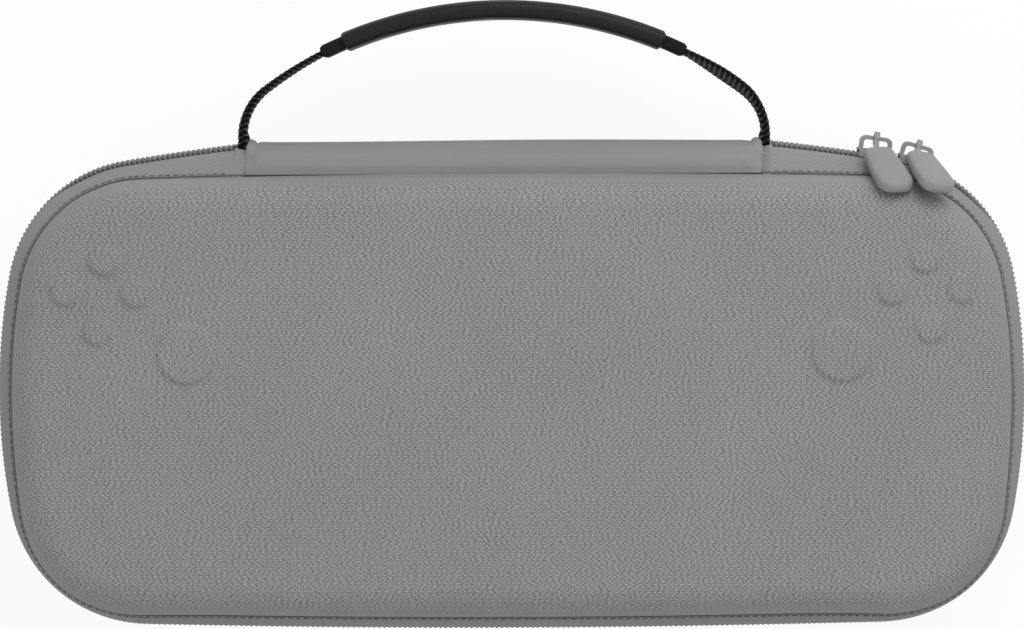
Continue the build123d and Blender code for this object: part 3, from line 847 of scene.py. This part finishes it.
def stitch_lines(name, lines, up, pitch, length, radius):
    """Stitches along straight lines from point to point."""
    places, ways = [], []
    for start, end in lines:
        start, end = np.array(start, float), np.array(end, float)
        span = np.linalg.norm(end - start)
        for share in (np.arange(int(span / pitch)) + 0.5) / int(span / pitch):
            places.append(start + (end - start) * share)
            ways.append((end - start) / span)
    return stitch_row(name, places, ways, [np.array(up, float)] * len(places), length, radius, THREAD)


def box_stitch(x, y, z):
    """The lines of a sewn box with a cross in it."""
    corners = [(-x, y[0], z), (x, y[0], z), (x, y[1], z), (-x, y[1], z)]
    lines = [(corners[k], corners[(k + 1) % 4]) for k in range(4)]
    return lines + [(corners[0], corners[2]), (corners[1], corners[3])]


HOLD_END, HOLD_HALF = 56.1, 13.0
low_y = np.linspace(-HOLD_END, 14, 60)
high_y = np.linspace(-14, HOLD_END, 80)
low_z = np.full(60, TRAY_TOP + 0.6)
high_z = TRAY_TOP + 0.6 + 2.8 * (1 - smoothstep(high_y, 15.5, 22.0))
strap_section = flat_section(HOLD_HALF, 0.55, 15)
pad_section = flat_section(11.0, 0.38, 13)
for piece, solid, line_y, line_z in (
    ("strap_low", "hold_strap_lower", low_y, low_z),
    ("strap_high", "hold_strap_upper", high_y, high_z),
):
    centres = np.column_stack([np.zeros(len(line_y)), line_y, line_z])
    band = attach(ribbon(piece, centres, (1, 0, 0), (0, 0, 1), strap_section, STRAP), "base")
    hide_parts(solid)
for piece, solid, level in (("pad_loops", "loop_pad", 25.6), ("pad_hooks", "hook_pad", 26.4)):
    centres = [(0, y, level) for y in np.linspace(-12, 12, 13)]
    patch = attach(ribbon(piece, np.array(centres), (1, 0, 0), (0, 0, 1), pad_section, PILE), "base")
    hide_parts(solid)
sewn = box_stitch(9.5, (-53.5, -43.5), 25.2) + box_stitch(9.5, (43.5, 53.5), 25.2) + box_stitch(9.5, (-11, 11), 28.0)
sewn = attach(stitch_lines("strap_stitches", sewn, (0, 0, 1), 2.2, 1.6, 0.2), "base")


pocket_points, pocket_normals = quarter_points(SHELL_HALF)
pocket_edge = (pocket_points - pocket_normals * (FOOT_INSET + WALL + 0.25)) * [1, -1]
pocket_edge = pocket_edge[pocket_edge[:, 0] > 101]


def pocket_half(y):
    """Half the pocket's width at a place along Y."""
    return float(np.interp(-abs(y), pocket_edge[:, 1], pocket_edge[:, 0]))


NET_COLUMNS, NET_SAG, NET_HALF_THICKNESS = 84, 1.3, 0.22
NET_ROWS = np.linspace(pocket_edge[0, 1] + 0.3, POCKET_MOUTH + 0.6, 26)


def net_mesh():
    """The pocket's stretched net: round holes in a thin cloth, hanging a little into the case."""
    ys = NET_ROWS
    rows, columns = len(ys) - 1, NET_COLUMNS
    mids = (ys[1:] + ys[:-1]) / 2
    span = ys[1] - ys[0]

    def place(u, y):
        sag = NET_SAG * (1 - u**4) * float(smoothstep(y - ys[0], 0, 25))
        return np.array([u * pocket_half(y), y, POCKET_LEVEL + 0.4 - sag])

    us = np.linspace(-1, 1, columns + 1)
    corners = [place(u, y) for y in ys for u in us]
    rings = []
    for y in mids:
        for k in range(columns):
            u, width = (us[k] + us[k + 1]) / 2, (us[k + 1] - us[k]) / 2
            for turn in np.arange(8) * pi / 4:
                rings.append(place(u + 0.66 * width * cos(turn), y + 0.33 * span * sin(turn)))
    layer = np.array(corners + rings)
    total = len(layer)
    points = np.concatenate([layer + [0, 0, NET_HALF_THICKNESS], layer - [0, 0, NET_HALF_THICKNESS]])
    faces = []
    for i in range(rows):
        for j in range(columns):
            a = i * (columns + 1) + j
            square = [a + columns + 2, a + columns + 1, a, a + 1]
            ring = len(corners) + (i * columns + j) * 8
            for k in range(4):
                hole = [ring + (2 * k + s) % 8 for s in (3, 2, 1)]
                face = (square[k], square[(k + 1) % 4], *hole)
                faces.append(face)
                faces.append(tuple(total + v for v in face[::-1]))
            for k in range(8):
                a, b = ring + k, ring + (k + 1) % 8
                faces.append((a, b, total + b, total + a))
    grid = np.arange(len(corners)).reshape(rows + 1, columns + 1)
    border = [*grid[0, :-1], *grid[:-1, -1], *grid[-1, :0:-1], *grid[:0:-1, 0]]
    for a, b in zip(border, border[1:] + border[:1]):
        faces.append((int(b), int(a), int(total + a), int(total + b)))
    return new_object("pocket_net", points, faces, [NET])


def hem_mesh():
    """The elastic hem of the pocket, gathered along its length."""
    half = pocket_half(POCKET_MOUTH + 3) - 0.2
    xs = np.linspace(-half, half, 360)
    gather = np.sin(xs * 1.9) + 0.5 * np.sin(xs * 3.1 + 1)
    centres = np.column_stack([xs, POCKET_MOUTH + 3 + 0.12 * gather, POCKET_LEVEL + 0.4 + 0.16 * gather])
    return ribbon("hem_band", centres, (0, 1, 0), (0, 0, -1), flat_section(2.8, 0.42, 9), HEM)


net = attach(net_mesh(), "lid")
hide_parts("pocket_mesh")
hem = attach(hem_mesh(), "lid")
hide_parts("pocket_hem")


def tray_spacing(x, y):
    """Finer beside the finger notches."""
    return 0.7 if abs(x - NOTCH_X) < 12 else 2.2


def recess_edge(path):
    """For each point of the plan, the recess's plain edge beside it, the way out and how far a notch goes out."""
    core = np.array(RECESS_HALF) - RECESS_CORNER
    inner = np.clip(path, -core, core)
    out = unit(path - inner)
    edge = inner + out * RECESS_CORNER
    beside = np.abs(edge[:, 0] - NOTCH_X) / (NOTCH_RADIUS + 0.6)
    notch = NOTCH_RADIUS * np.clip(1 - beside**2.6, 0, 1) ** 0.62
    return edge, out, notch[:, None]


def tray_mesh():
    """The lined foam tray: soft edges all round and a recess with two finger notches."""
    path, normals, _ = walk(SHELL_HALF, SHELL_HALF, tray_spacing)
    count = len(path)
    plain, out, notch = recess_edge(path)
    edge = plain + out * notch
    rows = []

    def add_row(at, z):
        rows.append(np.column_stack([at, np.full(count, z)]))

    for inset, z in ((16, 3.7), (12.2, 5.0), (10.6, 9.0), (9.3, 20.0), (9.2, 22.8), (9.6, 23.6), (10.4, 23.95)):
        add_row(path - normals * inset, z)
    border, rim = path - normals * 10.4, edge + out * 1.8
    for share in (0.33, 0.67):
        add_row(border + (rim - border) * share, TRAY_TOP - 0.1)
    for shift, z in ((1.8, 23.95), (1.1, 23.8), (0.5, 23.35), (0.12, 22.6), (0, 21.8), (0, 15.0), (0, 8.6),
                     (-0.35, 7.2), (-1.2, 6.35), (-2.6, 6.0)):
        add_row(edge + out * shift, z)
    for share in (1.0, 0.8, 0.5, 0.25, 0.06):
        add_row((plain - out * 4.0) * share, TRAY_FLOOR)
    faces = [f[::-1] for f in tube_faces(len(rows), count)]
    return new_object("lined_tray", np.concatenate(rows), faces, [LINING])


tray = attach(tray_mesh(), "base")
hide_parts("console_tray")


def binding_mesh(name, sign):
    """The tape sewn under a rim, all round but for the spine."""
    path, normals, distance = walk(SHELL_HALF, SHELL_HALF, even)
    total = distance[-1] + PLAN_STEP
    side = SPINE_LENGTH / 2 + 0.2
    keep = (distance > side + SPINE_CENTRE) & (distance < total - side + SPINE_CENTRE)
    section = [(-7.25 + 1.05 * a, 8.6 + 0.36 * b) for a, b in round_section(1.0, 10)]
    rows, uv = [], []
    for p, n, d in zip(path[keep], normals[keep], distance[keep]):
        for k, (shift, rise) in enumerate(section):
            rows.append((p[0] + n[0] * shift, p[1] + n[1] * shift, ZIP + sign * rise))
            uv.append((d, k * 0.5))
    faces = tube_faces(int(keep.sum()), len(section))
    if sign < 0:
        faces = [f[::-1] for f in faces]
    return new_object(name, rows, faces, [BINDING], None, uv)


for sign, side, body in ((1, "front", "lid"), (-1, "back", "base")):
    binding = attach(binding_mesh(f"{side}_rim_tape", sign), body)
    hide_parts(f"{side}_rim_binding")


# Solids that keep their own shape and get a finish

def finished(name, mat, width):
    """A solid with softened edges and a new material."""
    obj = nodes[name]
    obj.data.materials.clear()
    obj.data.materials.append(mat)
    obj.modifiers.new("weld", "WELD").merge_threshold = 0.000002
    bevel = obj.modifiers.new("bevel", "BEVEL")
    bevel.width = width * MM
    bevel.segments = 2
    bevel.limit_method = "ANGLE"
    bevel.angle_limit = radians(35)
    obj.modifiers.new("normals", "WEIGHTED_NORMAL")
    obj.data.polygons.foreach_set("use_smooth", [True] * len(obj.data.polygons))


for name in ("slider_1", "slider_2", "pull_link_1", "pull_link_2"):
    finished(name, SLIDER, 0.14)


# Pieces that take a softer shape than their solids

def tab_axes(name, link):
    """The middle of a tab and its half sizes along its length, width and thickness, from its solid's flat faces."""
    mesh = nodes[name].data
    points = np.array([v.co for v in mesh.vertices]) / MM
    normals = np.array([p.normal for p in mesh.polygons])
    areas = np.array([p.area for p in mesh.polygons])
    alike = np.abs(normals @ normals.T)
    thick = normals[np.argmax((alike > 0.9995) @ areas)]
    sides = np.where(np.abs(normals @ thick) < 0.01, areas, 0)
    wide = normals[np.argmax((alike > 0.9995) @ sides * (sides > 0))]
    along = np.cross(thick, wide)
    held = np.mean([v.co for v in nodes[link].data.vertices], axis=0) / MM
    if np.dot(points.mean(axis=0) - held, along) < 0:
        along, wide = -along, -wide
    axes = np.array([along, wide, thick])
    spans = points @ axes.T
    middle = (spans.max(axis=0) + spans.min(axis=0)) / 2
    return middle @ axes, axes, (spans.max(axis=0) - spans.min(axis=0)) / 2


def cap_share(length, reach, power):
    """The share of the full size at a length from a rounded end."""
    return (1 - np.clip(1 - length / reach, 0, 1) ** power) ** (1 / power)


def tab_mesh(name, solid, link, swing):
    """A soft pull tab: a pillow that widens towards its round end, with rolled edges, swung a little in its plane."""
    middle, axes, (length, width, thickness) = tab_axes(solid, link)
    top = middle - axes[0] * length
    along, wide, thick = axes
    along, wide = along * cos(swing) + wide * sin(swing), wide * cos(swing) - along * sin(swing)
    axes = np.array([along, wide, thick])
    middle = top + along * length
    steps = -length * np.cos(np.linspace(0, pi, 49))
    count = 56
    rows = []
    for v in steps:
        top, low = np.maximum([v + length, length - v], 0.01)
        wide = (width - 0.5 + 0.85 * float(smoothstep(v, -length, 0.35 * length)))
        wide *= float(cap_share(top, 2.8, 2.4) * cap_share(low, 4.8, 2.2))
        deep = thickness * float(cap_share(top, 1.6, 2.0) * cap_share(low, 2.4, 2.0))
        for t in 2 * pi * np.arange(count) / count:
            a = np.sign(cos(t)) * abs(cos(t)) ** 0.5
            b = np.sign(sin(t)) * abs(sin(t)) ** 0.62
            rows.append(middle + np.array([v, wide * a, deep * b]) @ axes)
    return new_object(name, rows, tube_faces(len(steps), count), [RUBBER])


for name, solid, link, swing, body in (
    ("soft_tab_1", "pull_tab_1", "pull_link_1", radians(0), "pull_a"),
    ("soft_tab_2", "pull_tab_2", "pull_link_2", radians(8), "pull_b"),
):
    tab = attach(tab_mesh(name, solid, link, swing), body)
    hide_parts(solid)


def tack_mesh():
    """The sewn tacks that hold the handle's roots: a folded tape end behind each root."""
    section = flat_section(4.6, 1.6, 9)
    ys = np.linspace(63.5, 70.0, 8)
    points, faces, uv = [], [], []
    for s in (1, -1):
        centres = np.column_stack([np.full(len(ys), SPINE_CENTRE + s * (ARCH_LEG - 0.2)), ys, np.full(len(ys), ZIP)])
        ups = [np.array([1.0, 0.0, 0.0])] * len(ys)
        faces += tube_faces(len(ys), len(section), len(points))
        points += list(tube_points(centres, [np.array([0.0, 0.0, 1.0])] * len(ys), ups, section))
        uv += [(y, w) for y in ys for w, _ in section]
    return new_object("root_tacks", points, faces, [TAPE_CLOTH], None, uv)


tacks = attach(tack_mesh(), "base")
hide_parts("handle_root_bars")


# Stage, light and camera

def make_floor():
    """A plain white floor that keeps the shadow."""
    mesh = bpy.data.meshes.new("floor")
    size = 6.0
    mesh.from_pydata([(-size, -size, 0), (size, -size, 0), (size, size, 0), (-size, size, 0)], [], [(0, 1, 2, 3)])
    obj = bpy.data.objects.new("floor", mesh)
    bpy.context.scene.collection.objects.link(obj)
    made, tree, shader = material("floor_white", 0.93, 0.9, 0.0, 0.0)
    light = node(tree, "ShaderNodeEmission")
    light.inputs["Strength"].default_value = 1.0
    paths = node(tree, "ShaderNodeLightPath")
    seen = calc(tree, "MAXIMUM", paths.outputs["Is Camera Ray"], paths.outputs["Is Glossy Ray"])
    seen = calc(tree, "MAXIMUM", seen, paths.outputs["Is Transmission Ray"])
    mix = node(tree, "ShaderNodeMixShader")
    tree.links.new(calc(tree, "MULTIPLY", seen, 0.9), mix.inputs[0])
    tree.links.new(shader.outputs[0], mix.inputs[1])
    tree.links.new(light.outputs[0], mix.inputs[2])
    tree.links.new(mix.outputs[0], tree.nodes["Material Output"].inputs["Surface"])
    mesh.materials.append(made)


def area_light(name, place, size, power):
    """A soft square lamp over the case."""
    data = bpy.data.lights.new(name, "AREA")
    data.shape = "SQUARE"
    data.size = size
    data.energy = power
    obj = bpy.data.objects.new(name, data)
    obj.location = place
    obj.rotation_mode = "QUATERNION"
    obj.rotation_quaternion = (Vector((0, 0, 0.03)) - Vector(place)).to_track_quat("-Z", "Y")
    bpy.context.scene.collection.objects.link(obj)


def make_world(strength):
    """An even white sky."""
    world = bpy.data.worlds.new("studio")
    world.use_nodes = True
    background = world.node_tree.nodes["Background"]
    background.inputs[0].default_value = (1, 1, 1, 1)
    background.inputs[1].default_value = strength
    bpy.context.scene.world = world


def make_camera():
    """The camera over the case, as far off as the photograph's."""
    eye = Vector((12.9, 91.6, 1228.7)) * MM
    aim = Vector((0.29, 22.75, 40.0)) * MM
    data = bpy.data.cameras.new("camera")
    data.sensor_width = 36.0
    data.lens = 143.24
    obj = bpy.data.objects.new("camera", data)
    back = (eye - aim).normalized()
    right = Vector((0, 1, 0)).cross(back).normalized()
    top = back.cross(right)
    roll = -0.00473
    turned_right = right * cos(roll) + top * sin(roll)
    turn = Matrix((turned_right, back.cross(turned_right), back)).transposed()
    obj.matrix_world = Matrix.Translation(eye) @ turn.to_4x4()
    bpy.context.scene.collection.objects.link(obj)
    bpy.context.scene.camera = obj


make_floor()
make_world(0.67)
area_light("key", (0.25, 0.5, 0.6), 0.5, 2.75)
area_light("fill", (-0.9, -0.4, 1.1), 1.0, 0.8)
make_camera()
bpy.context.scene.view_settings.view_transform = "Standard"
